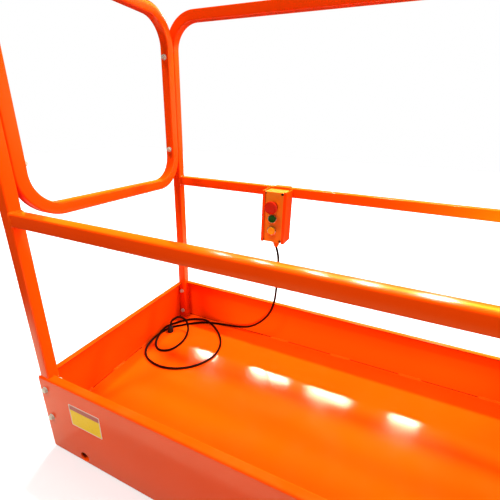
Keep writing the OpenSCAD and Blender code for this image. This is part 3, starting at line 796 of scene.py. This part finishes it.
station = dict(groove=0.0012, corner=0.005, front=0.0006, back=0.003, sealInset=0.0010, sealLap=0.001,
               sealCorner=0.004, sealEdge=0.0003)
boxLow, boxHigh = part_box("control_cover")
coverBack, boxBack = (corner.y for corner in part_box("control_box"))
boxX, boxZ = (boxLow.x + boxHigh.x) / 2, (boxLow.z + boxHigh.z) / 2
boxWidth, boxHeight = boxHigh.x - boxLow.x, boxHigh.z - boxLow.z
nodeCopy("stationCover", "control_cover", boxPlastic, 1.6 * mm, 3)
housing = roundedBlock((boxX, coverBack + station["groove"], boxZ), boxWidth, boxHeight,
                       boxBack - coverBack - station["groove"], station["corner"], station["front"],
                       station["back"])
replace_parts(makePiece("stationHousing", housing, boxPlastic), "control_box")
seal = roundedBlock((boxX, coverBack - station["sealLap"], boxZ), boxWidth - 2 * station["sealInset"],
                    boxHeight - 2 * station["sealInset"], station["groove"] + 2 * station["sealLap"],
                    station["sealCorner"], station["sealEdge"], station["sealEdge"])
makePiece("stationSeal", seal, blackPlastic)


def buttonAt(node):
    low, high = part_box(node)
    return np.array([(low.x + high.x) / 2, boxLow.y, (low.z + high.z) / 2])


def arcPoints(centre, radius, start, end, steps):
    turn = np.radians(np.linspace(start, end, steps))
    return [(centre[0] + radius * math.cos(t), centre[1] + radius * math.sin(t)) for t in turn]


facing = (0, -1, 0)
profiles = dict(
    stop=[(0.011, 0.0), (0.011, 0.0155), (0.0152, 0.0163), *arcPoints((0.0160, 0.0205), 0.0040, -90, 62, 9),
          (0.0150, 0.0250), (0.0110, 0.0257), (0.0060, 0.0260), (0.0005, 0.0261)],
    collar=[(0.0113, 0.0), (0.0160, 0.0), (0.0160, 0.0030), (0.0152, 0.0040), (0.0113, 0.0040)],
    cap=[(0.0115, 0.0), *arcPoints((0.0103, 0.0068), 0.0012, 0, 90, 5), (0.0090, 0.0077), (0.0060, 0.0073),
         (0.0005, 0.0071)],
    ring=[(0.0118, 0.0), (0.0145, 0.0), (0.0145, 0.0014), *arcPoints((0.0132, 0.0027), 0.0013, 0, 90, 5),
          (0.0124, 0.0040), (0.0118, 0.0036)])
for name, node, profile, steps, finish, slot in (
        ("stopHead", "stop_button", "stop", 64, redPlastic, "red_plastic"),
        ("upCap", "up_button", "cap", 48, greenPlastic, "green_plastic"),
        ("downCap", "down_button", "cap", 48, yellowPlastic, "yellow_plastic")):
    shape = capped(profiles[profile], buttonAt(node), facing, steps)
    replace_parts(makePiece(name, shape, finish), node)
rings = [capped(profiles["ring"], buttonAt(node), facing, 64) for node in ("up_button", "down_button")]
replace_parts(makePiece("buttonRings", joined(rings), ringSteel), "button_bezels")
makePiece("stopCollar", capped(profiles["collar"], buttonAt("stop_button"), facing, 64), redPlastic)

panHead = dict(steps=48, inner=0.12, fall=0.82, slotWidth=0.16, slotReach=0.62)


def screwHead(centre, axis, radius, height, recess):
    # a pan head: the height falls off from a flat crown, which has a sunk cross of two slots
    reach = np.concatenate([[0.0], np.linspace(panHead["inner"], 1.0, 12)])[:, None]
    turn = np.linspace(0, 2 * np.pi, panHead["steps"], endpoint=False)
    near, far = np.sort(np.abs([reach * np.cos(turn), reach * np.sin(turn)]), axis=0)
    slot = np.clip(1 - near / panHead["slotWidth"], 0, 1) * (far < panHead["slotReach"])
    crown = height * np.sqrt(1 - panHead["fall"] * reach ** 4)
    tall = np.vstack([crown - recess * np.minimum(1, 3 * slot), np.zeros((1, len(turn)))])
    return lathed(radius * np.vstack([reach, [[1.0]]]), tall, centre, axis, len(turn))


coverScrew = dict(x=0.028, z=0.005, sunk=0.0036, radius=0.0034, tall=0.0022, recess=0.0012)
screws = []
for x in (boxX - coverScrew["x"], boxX + coverScrew["x"]):
    for z in (boxLow.z + coverScrew["z"], boxHigh.z - coverScrew["z"]):
        screws.append(screwHead((x, boxLow.y + coverScrew["sunk"], z), facing, coverScrew["radius"],
                                coverScrew["tall"], coverScrew["recess"]))
makePiece("coverScrews", joined(screws), darkSteel)
nodeCopy("boxGland", "control_gland", boxPlastic, 0.8 * mm)
nodeCopy("deckGland", "deck_gland", blackPlastic, 0.6 * mm)
ribs = dict(radius=0.0099, proud=0.0009, count=16, deck=(0.0085, 0.0185), box=(0.0062, 0.0140),
            rows=((0, -0.6), (0.0003, 0.4), (0.001, 1.0)))  # distance from the end, share of proud


def ribbedSleeve(centre, axis, low, high):
    # radius is the nut's plus the upper half of a cosine wave round it, sunk into the nut at both ends
    turn = np.linspace(0, 2 * np.pi, ribs["count"] * 12, endpoint=False)
    rows = [(low + inset, rise) for inset, rise in ribs["rows"]]
    rows += [(high - inset, rise) for inset, rise in reversed(ribs["rows"])]
    heights, rises = np.array(rows)[:, :1], np.array(rows)[:, 1:]
    wave = np.clip(np.cos(ribs["count"] * turn) * 1.6 + 0.2, 0, 1)
    radius = ribs["radius"] + ribs["proud"] * np.where(rises > 0, rises * wave, rises)
    return lathed(radius, heights, centre, axis, len(turn))


for name, node, axis, span, finish, slot in (
        ("boxGlandRibs", "control_gland", (0, 0, -1), "box", boxPlastic, "orange_plastic"),
        ("deckGlandRibs", "deck_gland", (0, 0, 1), "deck", blackPlastic, "black_plastic")):
    low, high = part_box(node)
    start = high.z if span == "box" else deckTop
    sleeve = ribbedSleeve(((low.x + high.x) / 2, (low.y + high.y) / 2, start), axis, *ribs[span])
    makePiece(name, sleeve, finish)
print("control station made")


# Hinges: screws in the leaves and domed heads on the pins

hinge = dict(screw=0.0046, screwTall=0.0020, recess=0.0010, fromPin=0.0195, spread=0.019, pinInset=0.0065,
             fixedLeaf=0.0035, movingLeaf=0.0030, pinHead=0.0044, pinTall=0.0016, pinEdge=0.0004)
for level in ("lower", "upper"):
    nodeCopy("fixedHinge" + level.title(), "hinge_fixed_" + level, zincSteel, 0.4 * mm)
    nodeCopy("movingHinge" + level.title(), "hinge_moving_" + level, zincSteel, 0.4 * mm, body="gate")
    low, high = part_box("hinge_fixed_" + level)
    pinX, pinY, middleZ = high.x - hinge["pinInset"], high.y - hinge["pinInset"], (low.z + high.z) / 2
    for side, rider, prefix in ((-1, "root", "fixed"), (1, "gate", "moving")):
        places = [(pinX + hinge[prefix + "Leaf"], pinY + side * hinge["fromPin"],
                   middleZ + k * hinge["spread"]) for k in (-1, 1)]
        heads = [screwHead(at, (-1, 0, 0), hinge["screw"], hinge["screwTall"], hinge["recess"])
                 for at in places]
        makePiece(prefix + "Screws" + level.title(), joined(heads), zincSteel, rider)
    r, tall = hinge["pinHead"], hinge["pinTall"]
    dome = [(r, 0.0)] + [(r * math.cos(t), hinge["pinEdge"] + tall * math.sin(t))
                         for t in np.linspace(0, 1.45, 7)]
    caps = [capped(dome, (pinX, pinY, z), (0, 0, s)) for z, s in ((low.z, -1), (high.z, 1))]
    makePiece("pinHeads" + level.title(), joined(caps), zincSteel)
print("hinges made")


# Studio: white surroundings, a pale floor and soft lamps

def rayMix(tree, flag, usual, special):
    # special where the light path's flag is set, else usual
    mixed = addNode(tree, "ShaderNodeMixShader")
    wire(tree, addNode(tree, "ShaderNodeLightPath").outputs[flag], mixed.inputs[0])
    wire(tree, usual, mixed.inputs[1])
    wire(tree, special, mixed.inputs[2])
    return mixed.outputs[0]


floorSpec = dict(size=16.0, seen=0.8, bounce=0.21, mirrored=(0.60, 0.57, 0.46), far=(0.01, 0.01, 0.01),
                 full=1.2, reach=1.75)


def makeFloor():
    # bright to the camera, with little bounce; in reflections it is pale only close to the platform
    mesh = bpy.data.meshes.new("studioFloor")
    half = floorSpec["size"] / 2
    mesh.from_pydata([(-half, -half, 0), (half, -half, 0), (half, half, 0), (-half, half, 0)], [],
                     [(0, 1, 2, 3)])
    floor = newObject("studioFloor", mesh)
    material = bpy.data.materials.new("paleFloor")
    material.use_nodes = True
    tree = material.node_tree
    tree.nodes.clear()
    away = vectorNode(tree, "LENGTH", coords(tree))
    near = rangeNode(tree, away, floorSpec["full"], floorSpec["reach"], 1.0, 0.0)
    pale = mixColour(tree, near, floorSpec["far"], floorSpec["mirrored"])
    bounce, seen = ((floorSpec[k],) * 3 + (1.0,) for k in ("bounce", "seen"))
    shades = []
    for colour in (bounce, pale, seen):
        shades.append(addNode(tree, "ShaderNodeBsdfDiffuse"))
        wire(tree, colour, shades[-1].inputs["Color"])
    mirrored = rayMix(tree, "Is Glossy Ray", shades[0].outputs[0], shades[1].outputs[0])
    wire(tree, rayMix(tree, "Is Camera Ray", mirrored, shades[2].outputs[0]),
         addNode(tree, "ShaderNodeOutputMaterial").inputs[0])
    mesh.materials.append(material)


# lobes are (direction, power, strength); belt is a direction's Z over its Y, and reach its X over its Y
room = dict(lobes=(((0, 0, 1), 6.0, 0.8), ((0.84, 0.5, 0.2), 4.0, 6.0), ((0, -0.99, 0.14), 2.0, 0.53)),
            ambient=0.02, light=(1, 0.98, 0.95, 1), horizon=(1.0, 0.55, 0.28), amber=(1.5, 0.95, 0.02),
            ceiling=(0.30, 0.10, 0.0), front=(0.02, 0.02, 0.02), glow=(11.0, 10.0, 0.5),
            belt=(0.36, 0.43, 0.50, 0.58), reach=(-0.85, 0.45))


def makeWorld():
    # white to the camera; a light of three lobes for the surfaces; in reflections an amber room behind
    # the platform, with a belt of glow that grows to the right
    world = bpy.data.worlds.new("studioWorld")
    bpy.context.scene.world = world
    world.use_nodes = True
    world.cycles.sampling_method = "NONE"  # so that reflections meet only what is meant for them
    tree = world.node_tree
    tree.nodes.clear()
    seen, around, mirrored = (addNode(tree, "ShaderNodeBackground") for _ in range(3))
    seen.inputs["Color"].default_value = (1, 1, 1, 1)
    around.inputs["Color"].default_value = room["light"]
    sky = coords(tree, "Generated")
    light = room["ambient"]
    for toward, power, strength in room["lobes"]:
        level = mathNode(tree, "MAXIMUM", vectorNode(tree, "DOT_PRODUCT", sky, toward), 0.0)
        lobe = mathNode(tree, "MULTIPLY", mathNode(tree, "POWER", level, power), strength)
        light = mathNode(tree, "ADD", light, lobe)
    wire(tree, light, around.inputs["Strength"])
    way = axesOf(tree, sky)
    behind = mixColour(tree, rangeNode(tree, way["Z"], 0.05, 0.16), room["horizon"], room["amber"])
    behind = mixColour(tree, rangeNode(tree, way["Z"], 0.34, 0.56), behind, room["ceiling"])
    across = mathNode(tree, "DIVIDE", way["X"], way["Y"])
    rise = mathNode(tree, "DIVIDE", way["Z"], way["Y"])
    belt = mathNode(tree, "MULTIPLY", rangeNode(tree, rise, *room["belt"][:2]),
                    rangeNode(tree, rise, *room["belt"][2:], 1.0, 0.0))
    lit = mathNode(tree, "MULTIPLY", rangeNode(tree, across, *room["reach"]), belt)
    behind = mixColour(tree, lit, behind, room["glow"])
    wire(tree, mixColour(tree, rangeNode(tree, way["Y"], 0.0, 0.5), room["front"], behind),
         mirrored.inputs["Color"])
    either = rayMix(tree, "Is Glossy Ray", around.outputs[0], mirrored.outputs[0])
    wire(tree, rayMix(tree, "Is Camera Ray", either, seen.outputs[0]),
         addNode(tree, "ShaderNodeOutputWorld").inputs[0])


def addLamp(name, kind, energy, back):
    # back points from what is lit to the lamp; no lamp shows to the camera
    data = bpy.data.lights.new(name, kind)
    data.energy = energy
    lamp = newObject(name, data)
    lamp.rotation_euler = Vector(back).to_track_quat("Z", "Y").to_euler()
    lamp.visible_camera = lamp.visible_glossy = False
    return lamp


def areaLamp(name, location, target, size, watts, colour=(1, 1, 1), mirroredOnly=False, spread=180.0,
             only=None):
    # it lights surfaces or is only mirrored in them; only is the one piece that it reaches
    lamp = addLamp(name, "AREA", watts, Vector(location) - Vector(target))
    lamp.location = location
    lamp.data.shape = "RECTANGLE"
    lamp.data.size, lamp.data.size_y = size
    lamp.data.color = colour
    lamp.data.spread = math.radians(spread)
    lamp.visible_glossy, lamp.visible_diffuse = mirroredOnly, not mirroredOnly
    if only:
        lit = bpy.data.collections.new(name + "Lit")
        lit.objects.link(only)
        lamp.light_linking.receiver_collection = lit


keyLamp = dict(location=(0.2, 1.93, 4.6), target=(0, 0, 0.1), size=(3.6, 0.07), watts=490.0)
fillLamp = dict(toward=(-0.15, -0.37, 0.92), strength=2.5, angle=6.0)
trayLamp = dict(location=(0.08, -0.27, 0.15), target=(0.08, 0.3, 0.13), size=(1.0, 0.05), watts=0.6,
                spread=30.0)
doorLamp = dict(location=(0.62, 0.04, 0.62), target=(0.40, 0.286, 0.67), size=(0.12, 0.12), watts=3.0,
                colour=(1.0, 0.85, 0.5), spread=110.0)
# openings are (row, left, right, radiance); those of the deck row light the deck plate only
windows = dict(y=3.0, colour=(1.0, 0.88, 0.95), deck=(2.66, 2.857), rail=(2.22, 2.36), openings=(
    ("deck", -2.337, -2.033, 160.0), ("deck", -1.392, -0.834, 160.0), ("deck", -0.506, 0.051, 160.0),
    ("deck", 0.584, 0.898, 160.0), ("rail", -1.99, -1.87, 80.0), ("rail", -1.38, -1.25, 110.0),
    ("rail", -0.65, -0.52, 170.0), ("rail", -0.06, 0.10, 210.0), ("rail", 0.64, 0.87, 300.0)))
makeFloor()
makeWorld()
areaLamp("keyLamp", **keyLamp)
fill = addLamp("fillLamp", "SUN", fillLamp["strength"], fillLamp["toward"])
fill.data.angle = math.radians(fillLamp["angle"])
areaLamp("trayLamp", **trayLamp)
areaLamp("doorLamp", **doorLamp, only=midRails["far"])
for k, (row, left, right, radiance) in enumerate(windows["openings"]):
    low, high = windows[row]
    middle = ((left + right) / 2, windows["y"], (low + high) / 2)
    size = (right - left, high - low)
    areaLamp(f"windowLamp{k}", middle, (middle[0], 0, middle[2]), size,
             radiance * math.pi * size[0] * size[1], windows["colour"], mirroredOnly=True,
             only=deckPlate if row == "deck" else None)
print("studio lit")
